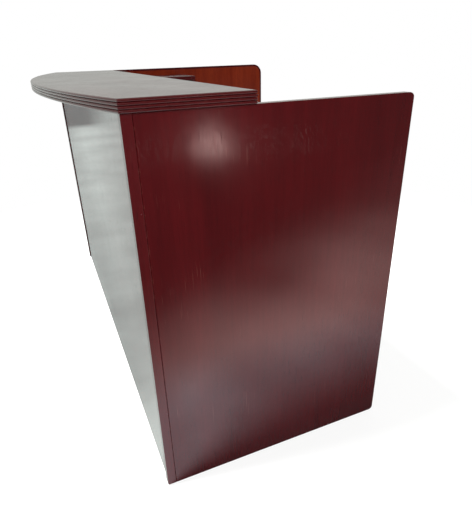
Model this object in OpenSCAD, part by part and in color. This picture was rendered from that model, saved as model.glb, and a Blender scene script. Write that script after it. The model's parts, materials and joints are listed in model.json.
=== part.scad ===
// L-shaped reception desk with a raised counter whose front edge bows towards the visitor.
// Millimetres. +X is the visitor's right, -Y faces the visitor and +Z is up.
// The origin lies on the floor under the middle of the desk's outline.

/* [Overall] */
// Length of the carcass from one end to the other, under the counter's overhangs
carcass_l = 1829; // [1700:1:2400]
// Height of the counter surface above the floor
overall_h = 1067; // [1050:1:1150]
// Depth of the near end, from the front of its post to its rear edge
end_depth = 732; // [720:1:780]
// Depth of the far side, from the front of its post to its rear edge
side_depth = 1200; // [1170:1:1500]
// Height of the glides that lift the boards off the floor
glide_h = 4; // [2:0.5:10]

/* [Carcass boards] */
// Thickness of the end panel, the side wall and the return's end panel
panel_t = 25; // [19:1:32]
// Side of the square corner posts
post_w = 25; // [20:1:32]
// Thickness of the front panel
front_t = 19; // [15:1:25]
// How far the front panel sits behind the front of the posts
front_recess = 4; // [2:1:20]
// Width of the V groove between a post and the board behind it
groove_w = 3; // [1:0.5:4]
// Radius of the small corners at the rear of the near end panel
end_corner_r = 13; // [3:1:30]
// Radius of the top rear corner of the far side wall
wall_corner_r = 50; // [25:1:120]
// Thickness of the solid lipping round the far side wall
lipping_t = 10; // [4:1:20]
// Assembly gap between boards of one group
seam = 0.2; // [0.1:0.05:0.5]

/* [Counter] */
// Thickness of the counter and of its reeded edges
counter_t = 28; // [22:1:40]
// Depth of the counter at its ends
counter_depth = 296; // [240:1:340]
// How far the counter stands out past each end of the carcass
counter_overhang = 6; // [2:1:30]
// How far the counter's front corners stand out past the posts
counter_lip = 3; // [1:1:20]
// How far the middle of the bowed edge stands out past the posts
bow_rise = 140; // [60:1:180]
// Clearance between the counter's rear edge and the far side wall's step
counter_gap = 1; // [0.5:0.5:3]

/* [Reeded edge] */
// Width of the solid edge, reeds included
edge_w = 18; // [12:1:30]
// Number of reeds on the edge
reeds = 4; // [2:1:6]
// Flat between two reeds
reed_valley = 0.4; // [0.2:0.1:1]

/* [Work surface] */
// Height of the work surface above the floor
surface_h = 737; // [720:1:760]
// Thickness of the work surface
surface_t = 28; // [22:1:32]
// How far the work surface's edge sits inside the near end panel's rear edge
surface_inset = 7; // [0:1:15]
// Width of the return, from the far side wall to its edge
return_w = 508; // [480:1:620]
// How far the return's end panel sits inside the return's rear edge
return_inset = 6; // [2:1:10]
// Side of the wooden cleats under the work surface
cleat_w = 30; // [20:1:36]

/* [Organizer] */
// Length of the organizer along the far side wall
organizer_l = 642; // [500:1:800]
// Depth of the organizer
organizer_d = 280; // [220:1:330]
// Gap between the organizer and the underside of the counter
organizer_drop = 8; // [4:1:60]
// Thickness of the organizer's top board
organizer_top_t = 19; // [12:1:25]
// Thickness of the organizer's other boards
organizer_t = 16; // [9:1:20]
// Thickness of the organizer's back and of the pedestals' backs
back_t = 6; // [3:1:9]
// Thickness of the organizer's shelf and dividers
divider_t = 10; // [6:1:12]
// Number of columns of pigeonholes
columns = 3; // [2:1:5]
// Gap between the front panel and the organizer
organizer_gap = 6; // [2:1:20]
// How far the organizer's shelf and dividers sit behind the case's front edge
shelf_inset = 2; // [1:1:10]
// How far the dividers sit behind the shelf's front edge
divider_inset = 2; // [1:1:10]

/* [Pedestals] */
// Outside width of the near pedestal
near_ped_w = 394; // [340:1:440]
// Distance of the return pedestal from the line of the main work surface's edge
return_ped_gap = 50; // [30:1:60]
// Thickness of the pedestals' boards
ped_t = 18; // [15:1:22]
// Depth of the near pedestal's case
near_ped_d = 540; // [530:1:580]
// How far the drawer fronts sit behind the work surface's edge
front_inset = 19; // [15:1:30]
// Height of the pedestals' bottom board above the floor
ped_floor_h = 88; // [70:1:100]
// How far the kick board sits behind the front of the case
kick_inset = 40; // [20:1:60]
// Width of the brace at the top rear of a pedestal
brace_w = 80; // [50:1:120]
// Gap between the kick board and the lower edge of the case
kick_gap = 1; // [0.5:0.5:5]
// Gap above the top drawer front
top_reveal = 10; // [6:1:14]

/* [Drawers] */
// Thickness of a drawer front
drawer_front_t = 19; // [16:1:22]
// Height of a shallow drawer front
shallow_front_h = 150; // [140:1:160]
// Gap between neighbouring drawer fronts
reveal = 3; // [2:0.5:5]
// Gap between a closed drawer front and the case
bumper_gap = 1.5; // [0.5:0.5:3]
// Height of a shallow drawer's box
shallow_box_h = 100; // [80:1:110]
// How far a file drawer's box ends below the top of its front
file_box_drop = 52; // [30:1:80]
// Height of a box's lower edge above the lower edge of its front
box_lift = 12; // [8:1:16]
// Thickness of the boards of a drawer box
box_t = 12; // [9:1:15]
// Thickness of a drawer bottom
bottom_t = 5; // [3:1:8]
// Height of a drawer bottom above the lower edge of the box
bottom_lift = 8; // [5:1:12]
// Gap between the near pedestal's drawer boxes and its back
near_box_gap = 35.5; // [10:0.5:60]
// Gap between the return pedestal's drawer boxes and its back
return_box_gap = 20.5; // [10:0.5:60]

/* [Slides] */
// Width of the gap between a drawer box and the case, filled by a slide
slide_gap = 12.8; // [12:0.1:14]
// Height of the fixed slide member
slide_h = 45; // [35:1:50]
// Running play above and below each inner slide member
slide_play = 0.5; // [0.3:0.1:1]
// Thickness of the slides' sheet steel
slide_t = 1.2; // [1:0.1:1.5]
// Width of a slide member's flange
slide_flange = 8.4; // [7:0.1:9]
// Gap between the webs of the fixed and middle members
slide_web_gap = 0.6; // [0.4:0.1:0.8]
// Height of a slide's centre above the lower edge of the box
slide_lift = 32; // [28:1:40]
// How far the slides sit behind the front of the case
slide_inset = 2; // [1:1:8]
// How much shorter a slide is than its drawer box
slide_short = 10; // [6:1:30]

/* [Pulls and locks] */
// Distance between the feet of a pull
pull_pitch = 96; // [64:1:128]
// Radius of a pull's bar
pull_r = 4.5; // [3:0.5:5]
// Bend radius of the pull's bow
pull_bow_r = 78; // [70:1:120]
// Radius of the knuckles between a pull's bow and its legs
pull_knuckle_r = 6; // [5.5:0.5:8]
// Length of a pull's legs
pull_leg = 15; // [10:1:25]
// Radius of a pull's feet
pull_foot_r = 8; // [7:0.5:12]
// Thickness of a pull's feet
pull_foot_t = 3; // [2:0.5:5]
// Radius of a lock's barrel
lock_r = 8; // [6:0.5:9]
// Running clearance round a lock's barrel
lock_clearance = 0.15; // [0.1:0.05:0.3]
// Radius of a lock's face
lock_face_r = 10; // [9.5:0.5:12]
// Thickness of a lock's face
lock_face_t = 2; // [1:0.5:3]
// Width of a lock's key slot
key_slot_w = 1.5; // [1:0.1:2.5]
// Depth of a lock's key slot
key_slot_depth = 3; // [2:0.5:8]
// Distance of a lock from the edge of its drawer front
lock_edge = 40; // [30:1:60]
// Height of a lock's axis below the underside of the work surface
lock_drop = 30; // [29:1:33]
// Length of a lock's cam from the axis
cam_l = 21; // [19:0.5:22]
// Width of a lock's cam
cam_w = 8; // [6:1:10]
// Thickness of a lock's cam
cam_t = 2.5; // [2:0.5:4]
// Gap between a lock's cam and the rail that it locks behind
cam_gap = 2; // [1:0.5:4]

/* [Grommets] */
// Radius of a grommet's hole in the work surface
grommet_hole_r = 30; // [28:1:40]
// Depth of the ledge that carries the cap, below the work surface's top
grommet_ledge_drop = 3; // [2:0.5:5]
// Thickness of that ledge
grommet_ledge_t = 2; // [1:0.5:3]
// Radius of a grommet's flange
grommet_flange_r = 36; // [34:1:50]
// Thickness of a grommet's flange
grommet_flange_t = 2.5; // [1.5:0.5:4]
// Inner radius of a grommet's sleeve
grommet_bore_r = 27.5; // [20:0.5:27.5]
// Width of the ledge that carries the cap
grommet_ledge = 2.5; // [1.5:0.5:4]
// Length of a grommet's sleeve below the work surface's top
grommet_sleeve = 22; // [15:1:40]
// Clearance round a grommet's cap
cap_gap = 0.3; // [0.2:0.1:0.5]
// Width of the cable notch in a cap
notch_w = 20; // [14:1:24]
// Distance of the cable notch's inner end from the cap's centre
notch_start = 14; // [10:1:16]
// Distance between the two grommets
grommet_pitch = 600; // [300:1:620]
// Distance of the grommets from the front panel
grommet_set_back = 97; // [60:1:110]

/* [Hardware] */
// Distance between the counter's brackets
bracket_pitch = 457; // [300:1:457]
// Length of a bracket's upper leg
bracket_reach = 200; // [120:1:210]
// Height of a bracket's upright leg
bracket_h = 150; // [100:1:200]
// Width of a bracket
bracket_w = 30; // [25:1:50]
// Thickness of a bracket's legs and of the corner angles
bracket_t = 4; // [2:0.5:6]
// Distance of a bracket's rib from the ends of the legs
rib_inset = 10; // [5:1:15]
// Distance of a bracket's inner screws from its corner
screw_inner = 35; // [25:1:50]
// Distance of a bracket's outer screws from the ends of its legs
screw_outer = 20; // [16:1:30]
// Radius of the screw holes in a bracket
screw_hole_r = 2.6; // [2.4:0.1:3]
// Radius of a screw's shank
screw_r = 2; // [1.5:0.1:2.2]
// Radius of a screw's head
screw_head_r = 4.5; // [4:0.5:5]
// Height of a screw's head
screw_head_h = 2.4; // [1.5:0.1:3]
// Length of a screw under its head
screw_l = 16; // [12:1:17]
// Distance of a screw from a bracket's centre line
screw_offset = 9; // [8:0.5:9]
// Leg of a corner angle
angle_w = 40; // [25:1:50]
// Height of a corner angle
angle_h = 50; // [30:1:80]
// Height of the lower corner angles above the floor
angle_low = 150; // [80:1:200]
// Gap between the upper corner angles and the cleats above them
angle_gap = 29; // [10:1:60]
// Length of the plates that join the two work surfaces
plate_l = 100; // [60:1:110]
// Width of those plates
plate_w = 40; // [25:1:60]
// Thickness of those plates
plate_t = 2.5; // [1.5:0.5:4]
// Radius of a floor glide
glide_r = 8; // [6:0.5:9]
// Distance of a glide from the end of its board
glide_edge = 40; // [20:1:60]
// Chamfer round the glides and the grommets' flanges
chamfer = 1; // [0.5:0.1:1.4]
// Distance between the glides under the front panel
front_glide_pitch = 600; // [300:1:1200]
// Distance of the first joint plate from the far side wall
first_plate = 110; // [90:1:180]
// Distance of the second joint plate from the far side wall
second_plate = 380; // [300:1:440]

/* [Hidden] */
drawers = ["near_upper", "near_middle", "near_file", "return_upper", "return_lower"];
drawer_pieces = ["front", "box", "pull", "slides", "mid_slides"];

// Colours of the materials
mahogany = [0.30, 0.07, 0.08];
inner_veneer = [0.38, 0.14, 0.08];
drawer_wood = [0.78, 0.66, 0.48];
zinc = [0.70, 0.71, 0.72];
brass = [0.62, 0.50, 0.28];
black_plastic = [0.06, 0.06, 0.06];

// Cutters reach this far past what they cut: the first past open sides, the second through boards
past = 9;
poke = 1;
// Segments of small, middling and large round shapes, and of the bow
hole_fn = 24;
round_fn = 48;
large_fn = 96;
bow_fn = 720;
// Chords that make up a reed's half round
reed_chords = 16;
// Degrees by which the bowed edge is drawn past its mitres
bow_past = 1;

// Places in X and Z that the carcass and the counter share
end_x = carcass_l / 2;
inner_x = end_x - panel_t;
counter_z = overall_h - counter_t;
board_h = counter_z - glide_h;
surface_z = surface_h - surface_t;

// Places in Y, from the visitor's side to the rear
front_y = (bow_rise - side_depth) / 2;
rear_y = front_y + side_depth;
panel_y = front_y + front_recess;
staff_y = panel_y + front_t;
board_y = front_y + post_w;
end_rear_y = front_y + end_depth;
surface_y = end_rear_y - surface_inset;
surface_core_y = surface_y - edge_w;

// The return's edges
return_x = return_w - inner_x;
return_core_x = return_x - edge_w;
return_core_y = rear_y - edge_w;
return_panel_y = rear_y - return_inset - panel_t;

// The counter's outline: a circular arc between two front corners
counter_x = end_x + counter_overhang;
counter_y = front_y - counter_lip;
counter_rear_y = counter_y + counter_depth;
bow_sagitta = bow_rise - counter_lip;
bow_r = (counter_x * counter_x + bow_sagitta * bow_sagitta) / (2 * bow_sagitta);
bow_y = counter_y - bow_sagitta + bow_r;
bow_half = asin(counter_x / bow_r);
core_r = bow_r - edge_w;
core_x = counter_x - edge_w;
core_rear_y = counter_rear_y - edge_w;
core_corner = [core_x, bow_y - sqrt(core_r * core_r - core_x * core_x)];
mitre_reach = 1 + past / edge_w;
mitre_end = core_corner + mitre_reach * ([counter_x, counter_y] - core_corner);
step_y = counter_rear_y + counter_gap;

// Pedestals, drawer fronts and boxes
near_case_y = surface_y - front_inset - drawer_front_t;
return_case_x = return_x - front_inset - drawer_front_t;
return_ped_d = return_case_x + inner_x;
return_ped_y = surface_y + return_ped_gap;
return_ped_w = return_panel_y - return_ped_y;
front_top = surface_z - top_reveal;
front_stack = front_top - ped_floor_h - reveal;
near_file_h = front_stack - 2 * (shallow_front_h + reveal);
return_front_h = (front_stack - reveal) / 2;
lock_z = surface_z - lock_drop;
mid_slide_h = slide_h - 2 * (slide_t + slide_play);
drawer_slide_h = mid_slide_h - 2 * (slide_t + slide_play);
rail_t = ped_t;

// Height of a file drawer's box, from the height of its front
function file_box_h(front_h) = front_h - box_lift - file_box_drop;

// A drawer's front and box: [bottom of the front, height of the front, height of the box]
function drawer_z(d) =
    d == "near_upper" ? [front_top - shallow_front_h, shallow_front_h, shallow_box_h]
    : d == "near_middle" ? [front_top - 2 * shallow_front_h - reveal, shallow_front_h, shallow_box_h]
    : d == "near_file" ? [ped_floor_h + reveal, near_file_h, file_box_h(near_file_h)]
    : d == "return_upper" ? [front_top - return_front_h, return_front_h, file_box_h(return_front_h)]
    : [ped_floor_h + reveal, return_front_h, file_box_h(return_front_h)];
function is_near(d) = d == "near_upper" || d == "near_middle" || d == "near_file";
function has_lock(d) = d == "near_upper" || d == "return_upper";
function ped_w(near) = near ? near_ped_w : return_ped_w;
function box_l(d) =
    (is_near(d) ? near_ped_d - near_box_gap : return_ped_d - return_box_gap) - back_t + bumper_gap;

// Grommets and the knee space between the pedestals
knee_x = (inner_x - near_ped_w + return_case_x + drawer_front_t) / 2;
grommet_y = staff_y + grommet_set_back;
grommet_x = [knee_x + grommet_pitch / 2, knee_x - grommet_pitch / 2];

// Box between two corners
module between(low, high) {
    translate(low) cube(high - low);
}

// A reeded edge's section: X runs outwards, Y up. Each reed is a half round in short chords
module reed_section(t) {
    r = (t / reeds - reed_valley) / 2;
    root = edge_w - r;
    polygon(concat([[0, 0], [root, 0]],
        [for (i = [0 : reeds - 1], k = [0 : reed_chords])
            [root + r * sin(180 * k / reed_chords),
             t / reeds * (i + 0.5) - r * cos(180 * k / reed_chords)]],
        [[root, t], [0, t]]));
}

// A straight reeded edge along X, facing +Y
module reed_run(l, t) {
    rotate([90, 0, 90]) linear_extrude(l) reed_section(t);
}

// Keeps the part of an edge that stands over the given outline
module over(outline, z, t) {
    intersection() {
        children();
        translate([0, 0, z - poke]) linear_extrude(t + 2 * poke) polygon(outline);
    }
}

// V groove down the joint between a corner post and the board behind it
module post_groove(side) {
    half = groove_w / 2 * sqrt(2);
    translate([side * end_x, board_y, glide_h - poke])
        rotate(45) translate([-half / 2, -half / 2, 0]) cube([half, half, board_h + 2 * poke]);
}

module corner_posts() {
    color(mahogany)
        for (side = [-1, 1])
            difference() {
                between([side * end_x - (side + 1) / 2 * post_w, front_y, glide_h],
                        [side * end_x + (1 - side) / 2 * post_w, board_y, counter_z]);
                post_groove(side);
            }
}

module front_panel() {
    color(mahogany)
        between([post_w - end_x, panel_y, glide_h], [end_x - post_w, staff_y, counter_z]);
}

// Outline of the near end panel: X runs to the rear, Y up
module end_outline() {
    l = end_depth - post_w;
    square([l - end_corner_r, board_h]);
    translate([0, end_corner_r]) square([l, board_h - 2 * end_corner_r]);
    for (z = [end_corner_r, board_h - end_corner_r])
        translate([l - end_corner_r, z]) circle(r = end_corner_r, $fn = round_fn);
}

module near_end_panel() {
    color(mahogany)
        difference() {
            translate([inner_x, board_y, glide_h])
                rotate([90, 0, 90]) linear_extrude(panel_t) end_outline();
            post_groove(1);
            between([inner_x - past, board_y - past, 0], [end_x - post_w, staff_y, overall_h]);
        }
}

// Outline of the far side wall without its step: X runs to the rear, Y up
module wall_outline(inset) {
    l = side_depth - post_w - inset;
    h = overall_h - glide_h - inset;
    r = wall_corner_r - inset;
    square([l - r, h]);
    square([l, h - r]);
    translate([l - r, h - r]) circle(r = r, $fn = large_fn);
}

// The step in the far side wall that the counter rests in
module wall_step() {
    translate([-past, board_h]) square([step_y - board_y + past, counter_t + past]);
}

module far_side_wall() {
    color(inner_veneer)
        difference() {
            translate([-end_x, board_y, glide_h])
                rotate([90, 0, 90]) linear_extrude(panel_t)
                    difference() {
                        wall_outline(lipping_t);
                        wall_step();
                    }
            post_groove(-1);
            between([post_w - end_x, board_y - past, 0], [past - inner_x, staff_y, overall_h]);
        }
}

module far_wall_lipping() {
    color(mahogany)
        translate([-end_x, board_y, glide_h])
            rotate([90, 0, 90]) linear_extrude(panel_t)
                difference() {
                    wall_outline(0);
                    wall_outline(lipping_t);
                    wall_step();
                }
}

module counter_core() {
    color(mahogany)
        intersection() {
            translate([0, bow_y, counter_z]) cylinder(r = core_r, h = counter_t, $fn = bow_fn);
            between([-core_x, counter_y - bow_rise, counter_z], [core_x, core_rear_y, overall_h]);
        }
}

module counter_bow_edge() {
    far_front_y = counter_y - 2 * bow_rise;
    outline = [core_corner, mitre_end, [mitre_end.x, far_front_y],
               [-mitre_end.x, far_front_y], [-mitre_end.x, mitre_end.y],
               [-core_corner.x, core_corner.y]];
    color(mahogany)
        over(outline, counter_z, counter_t)
            translate([0, bow_y, counter_z]) rotate(-90 - bow_half - bow_past)
                rotate_extrude(angle = 2 * (bow_half + bow_past), $fn = bow_fn)
                    translate([core_r, 0]) reed_section(counter_t);
}

module counter_end_edges() {
    outline = [core_corner, mitre_end, [mitre_end.x, counter_rear_y + past],
               [core_x, core_rear_y]];
    color(mahogany)
        for (side = [0, 1])
            mirror([side, 0, 0])
                over(outline, counter_z, counter_t)
                    translate([core_x, counter_rear_y + past, counter_z]) rotate(-90)
                        reed_run(counter_depth + 4 * past, counter_t);
}

module counter_rear_edge() {
    outline = [[-core_x, core_rear_y], [core_x, core_rear_y],
               [counter_x + past, counter_rear_y + past],
               [-counter_x - past, counter_rear_y + past]];
    color(mahogany)
        over(outline, counter_z, counter_t)
            translate([-counter_x - past, core_rear_y, counter_z])
                reed_run(2 * (counter_x + past), counter_t);
}

// Places of the brackets along X
bracket_x = [-bracket_pitch, 0, bracket_pitch];

module counter_brackets() {
    color(zinc)
        for (x = bracket_x)
            translate([x, staff_y, counter_z])
                difference() {
                    union() {
                        between([-bracket_w / 2, 0, -bracket_h], [bracket_w / 2, bracket_t, 0]);
                        between([-bracket_w / 2, 0, -bracket_t], [bracket_w / 2, bracket_reach, 0]);
                        translate([-bracket_t / 2, 0, 0]) rotate([90, 0, 90])
                            linear_extrude(bracket_t)
                                polygon([[bracket_t / 2, -bracket_t / 2],
                                         [bracket_t / 2, rib_inset - bracket_h],
                                         [bracket_t, rib_inset - bracket_h],
                                         [bracket_reach - rib_inset, -bracket_t],
                                         [bracket_reach - rib_inset, -bracket_t / 2]]);
                    }
                    for (side = [-1, 1]) {
                        for (z = [screw_inner, bracket_h - screw_outer])
                            translate([side * screw_offset, -poke, -z]) rotate([-90, 0, 0])
                                cylinder(r = screw_hole_r, h = bracket_t + 2 * poke, $fn = hole_fn);
                        for (y = [screw_inner, bracket_reach - screw_outer])
                            translate([side * screw_offset, y, -bracket_t - poke])
                                cylinder(r = screw_hole_r, h = bracket_t + 2 * poke, $fn = hole_fn);
                    }
                }
}

// Pan-head screw whose head rests on z = 0 and whose shank points up
module screw() {
    translate([0, 0, -screw_head_h]) cylinder(r = screw_head_r, h = screw_head_h, $fn = hole_fn);
    translate([0, 0, -screw_head_h / 2])
        cylinder(r = screw_r, h = screw_head_h / 2 + screw_l, $fn = hole_fn);
}

module bracket_screws() {
    color(zinc)
        for (x = bracket_x, side = [-1, 1])
            translate([x + side * screw_offset, staff_y, counter_z]) {
                for (z = [screw_inner, bracket_h - screw_outer])
                    translate([0, bracket_t, -z]) rotate([90, 0, 0]) screw();
                for (y = [screw_inner, bracket_reach - screw_outer])
                    translate([0, y, -bracket_t]) screw();
            }
}

module corner_angles() {
    high = surface_z - cleat_w - angle_gap - angle_h;
    color(zinc)
        for (side = [0, 1], z = [angle_low, high])
            mirror([side, 0, 0])
                translate([inner_x, staff_y, z]) {
                    between([-angle_w, 0, 0], [0, bracket_t, angle_h]);
                    between([-bracket_t, 0, 0], [0, angle_w, angle_h]);
                }
}

module support_cleats() {
    low = surface_z - cleat_w;
    near_case_rear = near_case_y - near_ped_d;
    color(drawer_wood) {
        between([-inner_x, staff_y, low], [inner_x, staff_y + cleat_w, surface_z]);
        between([-inner_x, staff_y + cleat_w + seam, low],
                [cleat_w - inner_x, return_ped_y - seam, surface_z]);
        between([inner_x - cleat_w, staff_y + cleat_w + seam, low],
                [inner_x, near_case_rear - seam, surface_z]);
    }
}

module work_surface() {
    color(mahogany)
        difference() {
            between([-inner_x, staff_y, surface_z], [inner_x, surface_core_y, surface_h]);
            for (x = grommet_x)
                translate([x, grommet_y, surface_z - poke])
                    cylinder(r = grommet_hole_r, h = surface_t + 2 * poke, $fn = large_fn);
        }
}

module work_surface_edge() {
    outline = [[return_core_x, surface_core_y], [inner_x, surface_core_y],
               [inner_x, surface_y + past], [return_x + past, surface_y + past]];
    color(mahogany)
        over(outline, surface_z, surface_t)
            translate([return_core_x - past, surface_core_y, surface_z])
                reed_run(inner_x - return_core_x + 2 * past, surface_t);
}

module return_surface() {
    color(mahogany)
        between([-inner_x, surface_core_y, surface_z],
                [return_core_x, return_core_y, surface_h]);
}

module return_surface_edge() {
    side = [[return_core_x, surface_core_y], [return_x + past, surface_y + past],
            [return_x + past, rear_y + past - seam], [return_core_x, return_core_y - seam]];
    rear = [[-inner_x, return_core_y], [return_core_x, return_core_y],
            [return_x + past, rear_y + past], [-inner_x, rear_y + past]];
    color(mahogany) {
        over(side, surface_z, surface_t)
            translate([return_core_x, rear_y + past, surface_z]) rotate(-90)
                reed_run(rear_y - surface_core_y + 2 * past, surface_t);
        over(rear, surface_z, surface_t)
            translate([-inner_x - past, return_core_y, surface_z])
                reed_run(return_w + 2 * past, surface_t);
    }
}

module return_end_panel() {
    color(mahogany)
        between([-inner_x, return_panel_y, glide_h],
                [return_case_x + drawer_front_t, return_panel_y + panel_t, surface_z]);
}

module surface_joint_plates() {
    color(zinc)
        for (x = [first_plate, second_plate])
            between([x - inner_x - plate_w / 2, surface_core_y - plate_l / 2, surface_z - plate_t],
                    [x - inner_x + plate_w / 2, surface_core_y + plate_l / 2, surface_z]);
}

// Places of the organizer
organizer_y = staff_y + organizer_gap;
organizer_rear_y = organizer_y + organizer_l;
organizer_x = organizer_d - inner_x;
organizer_top = counter_z - organizer_drop;
hole_low = surface_h + organizer_t;
hole_high = organizer_top - organizer_top_t;
shelf_z = (hole_low + hole_high - divider_t) / 2;
column_w = (organizer_l - 2 * organizer_t - (columns - 1) * divider_t) / columns;

module organizer_case() {
    color(mahogany) {
        between([-inner_x, organizer_y, hole_high], [organizer_x, organizer_rear_y, organizer_top]);
        between([-inner_x, organizer_y, surface_h], [organizer_x, organizer_rear_y, hole_low]);
        for (y = [organizer_y, organizer_rear_y - organizer_t])
            between([-inner_x, y, hole_low + seam],
                    [organizer_x, y + organizer_t, hole_high - seam]);
    }
}

module organizer_back() {
    color(inner_veneer)
        between([-inner_x, organizer_y + organizer_t + seam, hole_low + seam],
                [back_t - inner_x, organizer_rear_y - organizer_t - seam, hole_high - seam]);
}

module organizer_shelf() {
    color(inner_veneer)
        between([back_t + seam - inner_x, organizer_y + organizer_t, shelf_z],
                [organizer_x - shelf_inset, organizer_rear_y - organizer_t, shelf_z + divider_t]);
}

module organizer_dividers() {
    color(inner_veneer)
        for (i = [1 : columns - 1], z = [[hole_low, shelf_z], [shelf_z + divider_t, hole_high]])
            translate([0, organizer_y + organizer_t + i * column_w + (i - 1) * divider_t, 0])
                between([back_t + seam - inner_x, 0, z[0]],
                        [organizer_x - shelf_inset - divider_inset, divider_t, z[1]]);
}

module grommet_sleeves() {
    hole_wall_r = grommet_hole_r - cap_gap;
    ledge_r = grommet_bore_r - grommet_ledge;
    ledge_low = -grommet_ledge_drop - grommet_ledge_t;
    color(black_plastic)
        for (x = grommet_x)
            translate([x, grommet_y, surface_h])
                rotate_extrude($fn = large_fn)
                    polygon([[ledge_r, ledge_low], [ledge_r, -grommet_ledge_drop],
                             [grommet_bore_r, -grommet_ledge_drop],
                             [grommet_bore_r, grommet_flange_t],
                             [grommet_flange_r - chamfer, grommet_flange_t],
                             [grommet_flange_r, grommet_flange_t - chamfer],
                             [grommet_flange_r, 0],
                             [hole_wall_r, 0], [hole_wall_r, -grommet_sleeve],
                             [grommet_bore_r, -grommet_sleeve], [grommet_bore_r, ledge_low]]);
}

// Grommet cap with its cable notch towards the front panel
module grommet_cap(x) {
    r = grommet_bore_r - cap_gap;
    low = surface_h - grommet_ledge_drop + cap_gap;
    color(black_plastic)
        difference() {
            translate([x, grommet_y, low])
                cylinder(r = r, h = surface_h + grommet_flange_t - low, $fn = large_fn);
            between([x - notch_w / 2, grommet_y - r - poke, low - poke],
                    [x + notch_w / 2, grommet_y - notch_start, surface_h + grommet_flange_t + poke]);
        }
}

module near_grommet_cap() {
    grommet_cap(grommet_x[0]);
}

module far_grommet_cap() {
    grommet_cap(grommet_x[1]);
}

// Glide under a board, with a chamfered foot
module glide(p) {
    translate([p.x, p.y, 0]) rotate_extrude($fn = round_fn)
        polygon([[0, 0], [glide_r - chamfer, 0], [glide_r, chamfer], [glide_r, glide_h],
                 [0, glide_h]]);
}

// Glides under a pedestal's two sides
module pedestal_glides(w, d) {
    for (x = [ped_t / 2, w - ped_t / 2], y = [glide_edge, d - glide_edge]) glide([x, y]);
}

module floor_glides() {
    near_mid = inner_x + panel_t / 2;
    panel_mid = panel_y + front_t / 2;
    wall_end = rear_y - lipping_t - glide_edge;
    color(black_plastic) {
        for (y = [board_y + glide_edge, end_rear_y - glide_edge]) glide([near_mid, y]);
        for (y = [board_y + glide_edge, (board_y + wall_end) / 2, wall_end]) glide([-near_mid, y]);
        for (side = [-1, 1]) glide([side * front_glide_pitch / 2, panel_mid]);
        glide([return_case_x - glide_edge, return_panel_y + panel_t / 2]);
        at_near() pedestal_glides(near_ped_w, near_ped_d);
        at_return() pedestal_glides(return_ped_w, return_ped_d);
    }
}

// A pedestal is drawn with its drawers opening towards -Y and its left front corner at the origin
module at_near() {
    translate([inner_x, near_case_y, 0]) rotate(180) children();
}

module at_return() {
    translate([return_case_x, return_ped_y, 0]) rotate(90) children();
}

module at_pedestal(near) {
    if (near) at_near() children();
    else at_return() children();
}

// Sides, bottom, kick board, front rail and rear brace of a pedestal
module pedestal_case(w, d) {
    inner_l = ped_t + seam;
    inner_r = w - ped_t - seam;
    rear = d - back_t - seam;
    color(mahogany) {
        for (x = [0, w - ped_t]) between([x, 0, glide_h], [x + ped_t, d, surface_z]);
        between([inner_l, 0, ped_floor_h - ped_t], [inner_r, rear, ped_floor_h]);
        between([inner_l, kick_inset, glide_h + kick_gap],
                [inner_r, kick_inset + ped_t, ped_floor_h - ped_t - seam]);
        between([inner_l, 0, surface_z - rail_t], [inner_r, rail_t, surface_z]);
        between([inner_l, rear - brace_w, surface_z - rail_t], [inner_r, rear, surface_z]);
    }
}

module pedestal_back(w, d) {
    color(inner_veneer)
        between([ped_t + seam, d - back_t, ped_floor_h - ped_t],
                [w - ped_t - seam, d, surface_z]);
}

// A slide member along Y: its web stands at x = 0 and its flanges reach to +X
module slide_member(l, h) {
    translate([0, 0, -h / 2])
        difference() {
            cube([slide_flange, l, h]);
            translate([slide_t, -poke, slide_t])
                cube([slide_flange, l + 2 * poke, h - 2 * slide_t]);
        }
}

// Left and right members of a drawer's slides, mirrored about the pedestal's middle
module slide_pair(d, x, h, turned) {
    half = ped_w(is_near(d)) / 2;
    z = drawer_z(d)[0] + box_lift + slide_lift;
    color(zinc)
        at_pedestal(is_near(d))
            for (side = [0, 1])
                translate([half, 0, z]) mirror([side, 0, 0]) translate([x - half, slide_inset, 0])
                    mirror([turned ? 1 : 0, 0, 0]) slide_member(box_l(d) - slide_short, h);
}

module case_slides(near) {
    for (d = drawers)
        if (is_near(d) == near) slide_pair(d, ped_t, slide_h, false);
}

module drawer_mid_slides(d) {
    slide_pair(d, ped_t + slide_t + slide_web_gap, mid_slide_h, false);
}

module drawer_slides(d) {
    slide_pair(d, ped_t + slide_gap, drawer_slide_h, true);
}

module drawer_front(d) {
    z = drawer_z(d);
    w = ped_w(is_near(d));
    color(mahogany)
        at_pedestal(is_near(d))
            difference() {
                between([reveal / 2, -bumper_gap - drawer_front_t, z[0]],
                        [w - reveal / 2, -bumper_gap, z[0] + z[1]]);
                if (has_lock(d))
                    translate([w - lock_edge, -bumper_gap + poke, lock_z]) rotate([90, 0, 0])
                        cylinder(r = lock_r + lock_clearance, h = drawer_front_t + 2 * poke,
                                 $fn = round_fn);
            }
}

// Sides, front, back and bottom of a drawer box
module drawer_box(d) {
    z = drawer_z(d);
    low = z[0] + box_lift;
    high = low + z[2];
    left = ped_t + slide_gap;
    right = ped_w(is_near(d)) - left;
    l = box_l(d);
    color(drawer_wood)
        at_pedestal(is_near(d))
            translate([0, -bumper_gap, 0]) {
                for (x = [left, right - box_t]) between([x, 0, low], [x + box_t, l, high]);
                for (y = [0, l - box_t])
                    between([left + box_t + seam, y, low], [right - box_t - seam, y + box_t, high]);
                between([left + box_t + seam, box_t + seam, low + bottom_lift],
                        [right - box_t - seam, l - box_t - seam, low + bottom_lift + bottom_t]);
            }
}

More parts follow.
